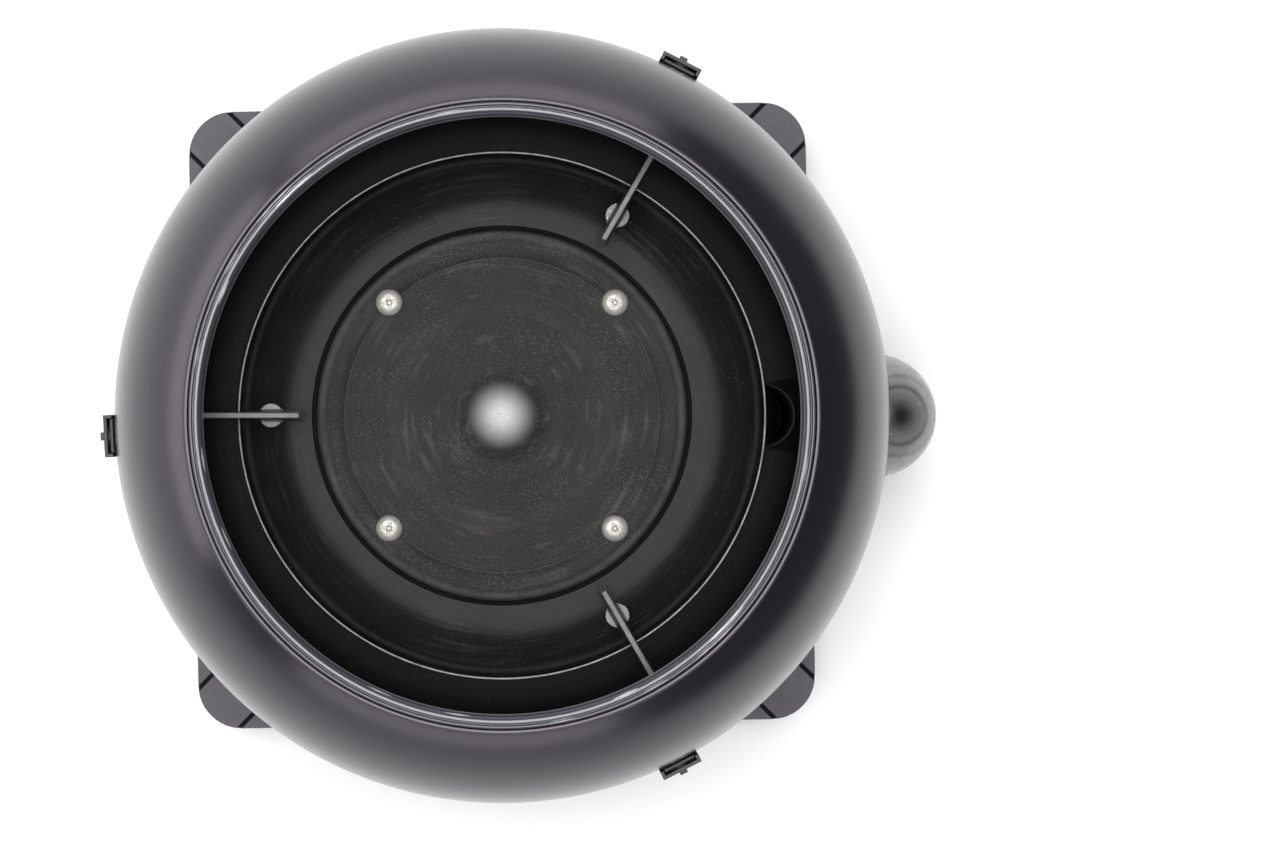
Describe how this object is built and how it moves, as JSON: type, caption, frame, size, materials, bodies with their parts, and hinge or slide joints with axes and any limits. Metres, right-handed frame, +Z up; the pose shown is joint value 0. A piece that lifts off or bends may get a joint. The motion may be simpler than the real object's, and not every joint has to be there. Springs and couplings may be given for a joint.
{
  "type": "kitchen garbage disposal",
  "caption": "Bulb-shaped black kitchen garbage disposal on a square base, with an open round mouth, a concave grinding bowl, a spinning grind plate, breaker vanes and a side outlet elbow.",
  "frame": {"origin": "centre of the underside of the base, on the surface the feet stand on", "axes": "+Z up, along the body and grind plate axis; +X towards the outlet elbow; +Y towards the supply inlet"},
  "size_m": [0.3031, 0.2722, 0.208],
  "materials": {
    "body_plastic": "semi-gloss moulded",
    "chamber_plastic": "satin, lightly scuffed",
    "vane_plastic": "satin",
    "stud_plastic": "satin",
    "nickel_screw": "bright nickel plate",
    "plain_steel": "zinc plate",
    "cast_aluminium": "as cast",
    "core_laminate": "varnished",
    "winding_copper": "enamelled",
    "black_rubber": "matt",
    "dark_insulator": "satin",
    "red_plastic": "gloss"
  },
  "bodies": {
    "housing": {"upper_shell": "body_plastic", "rim_ring": "body_plastic", "lower_shell": "body_plastic", "outlet_elbow": "body_plastic", "outlet_tailpiece": "body_plastic", "base_housing": "body_plastic", "base_cover": "body_plastic", "drain_deck": "chamber_plastic", "grinding_bowl": "chamber_plastic", "drain_well": "chamber_plastic", "outlet_pipe": "chamber_plastic", "breaker_vane_1": "vane_plastic", "breaker_vane_2": "vane_plastic", "breaker_vane_3": "vane_plastic", "latch_bracket_1": "vane_plastic", "latch_bracket_2": "vane_plastic", "latch_bracket_3": "vane_plastic", "latch_catch_1": "vane_plastic", "latch_catch_2": "vane_plastic", "latch_catch_3": "vane_plastic", "vane_stud_1": "stud_plastic", "vane_stud_2": "stud_plastic", "vane_stud_3": "stud_plastic", "latch_pin_1": "plain_steel", "latch_pin_2": "plain_steel", "latch_pin_3": "plain_steel", "clamp_band": "plain_steel", "clamp_screw": "plain_steel", "upper_bearing": "plain_steel", "lower_bearing": "plain_steel", "motor_bolt_1": "plain_steel", "motor_bolt_2": "plain_steel", "button_spring": "plain_steel", "capacitor_clip": "plain_steel", "upper_end_bell": "cast_aluminium", "lower_end_bell": "cast_aluminium", "capacitor": "cast_aluminium", "stator_core": "core_laminate", "upper_winding": "winding_copper", "lower_winding": "winding_copper", "shaft_seal": "black_rubber", "outlet_gasket": "black_rubber", "foot_1": "black_rubber", "foot_2": "black_rubber", "foot_3": "black_rubber", "foot_4": "black_rubber", "overload_switch": "dark_insulator", "supply_inlet": "dark_insulator"},
    "rotor": {"grind_plate": "chamber_plastic", "plate_hub": "plain_steel", "motor_shaft": "plain_steel", "rotor_core": "core_laminate", "plate_screw_1": "nickel_screw", "plate_screw_2": "nickel_screw", "plate_screw_3": "nickel_screw", "plate_screw_4": "nickel_screw"},
    "latch_1": {"latch_hasp_1": "vane_plastic"},
    "latch_2": {"latch_hasp_2": "vane_plastic"},
    "latch_3": {"latch_hasp_3": "vane_plastic"},
    "button": {"reset_button": "red_plastic"}
  },
  "joints": [
    {"name": "plate_spin", "type": "hinge", "parent": "housing", "child": "rotor", "pos_m": [0, 0, 0.13], "axis": [0, 0, 1], "continuous": true},
    {"name": "latch_1_swing", "type": "hinge", "parent": "housing", "child": "latch_1", "pos_m": [0.0626, 0.12287, 0.122], "axis": [-0.891, 0.454, 0], "range_deg": [0, 110]},
    {"name": "latch_2_swing", "type": "hinge", "parent": "housing", "child": "latch_2", "pos_m": [-0.13771, -0.00722, 0.122], "axis": [0.0523, -0.9986, 0], "range_deg": [0, 110]},
    {"name": "latch_3_swing", "type": "hinge", "parent": "housing", "child": "latch_3", "pos_m": [0.0626, -0.12287, 0.122], "axis": [0.891, 0.454, 0], "range_deg": [0, 110]},
    {"name": "reset_press", "type": "slide", "parent": "housing", "child": "button", "axis": [0, 0, 1], "range_m": [0, 0.0025], "stiffness_N_per_m": 300, "springref_m": -0.003, "deforming": ["button_spring"]}
  ]
}
